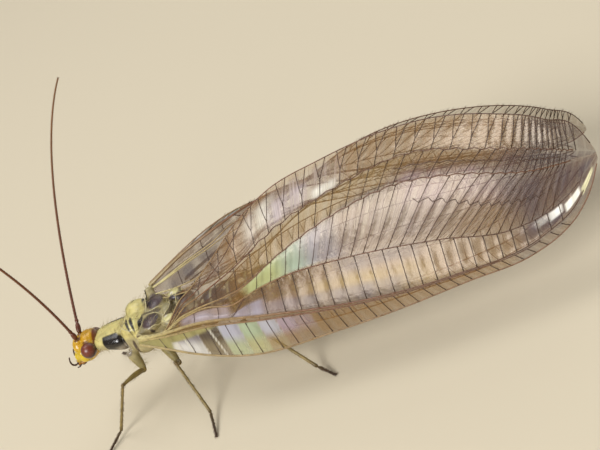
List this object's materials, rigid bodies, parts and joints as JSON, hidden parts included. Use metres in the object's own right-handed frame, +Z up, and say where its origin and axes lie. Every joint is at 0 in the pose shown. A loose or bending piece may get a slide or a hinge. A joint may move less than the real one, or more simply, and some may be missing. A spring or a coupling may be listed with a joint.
{
  "type": "lacewing",
  "caption": "Life-size lacewing at rest on its feet, with long veined wings held roof-like over the body and long antennae raised.",
  "frame": {"origin": "centre of the model's box at floor level, where the six feet stand", "axes": "+Z up; the head points to -Y and the wings to +Y; the insect's left side is +X"},
  "size_m": [0.017, 0.029, 0.0179],
  "materials": {
    "head_yellow": "smooth orange-yellow cuticle",
    "eye_red": "glossy dark red-brown facets",
    "horn_brown": "dull brown, finely ringed",
    "dark_brown": "glossy dark brown cuticle",
    "pale_yellow": "pale yellow cuticle with dark side patches",
    "thorax_yellow": "yellow cuticle with purple-brown lobes",
    "abdomen_brown": "dark brown rings with pale yellow edges",
    "wing_membrane": "clear shiny membrane with pale long veins and dark crossveins",
    "leg_green": "greenish yellow cuticle",
    "leg_brown": "brown cuticle"
  },
  "bodies": {
    "root": {"abdomen": "abdomen_brown", "antenna_left_lower": "horn_brown", "antenna_left_scape": "horn_brown", "antenna_left_upper": "horn_brown", "antenna_right_lower": "horn_brown", "antenna_right_scape": "horn_brown", "antenna_right_upper": "horn_brown", "coxa_fore_left": "leg_green", "coxa_fore_right": "leg_green", "coxa_hind_left": "leg_green", "coxa_hind_right": "leg_green", "coxa_mid_left": "leg_green", "coxa_mid_right": "leg_green", "eye_left": "eye_red", "eye_right": "eye_red", "femur_fore_left": "leg_green", "femur_fore_right": "leg_green", "femur_hind_left": "leg_green", "femur_hind_right": "leg_green", "femur_mid_left": "leg_green", "femur_mid_right": "leg_green", "forewing_left": "wing_membrane", "forewing_right": "wing_membrane", "head": "head_yellow", "hindwing_left": "wing_membrane", "hindwing_right": "wing_membrane", "mesothorax": "thorax_yellow", "metathorax": "thorax_yellow", "mouthparts": "dark_brown", "palp_left": "dark_brown", "palp_right": "dark_brown", "prothorax": "pale_yellow", "tarsus_fore_left": "leg_brown", "tarsus_fore_right": "leg_brown", "tarsus_hind_left": "leg_brown", "tarsus_hind_right": "leg_brown", "tarsus_mid_left": "leg_brown", "tarsus_mid_right": "leg_brown", "tibia_fore_left": "leg_green", "tibia_fore_right": "leg_green", "tibia_hind_left": "leg_green", "tibia_hind_right": "leg_green", "tibia_mid_left": "leg_green", "tibia_mid_right": "leg_green"}
  },
  "joints": []
}
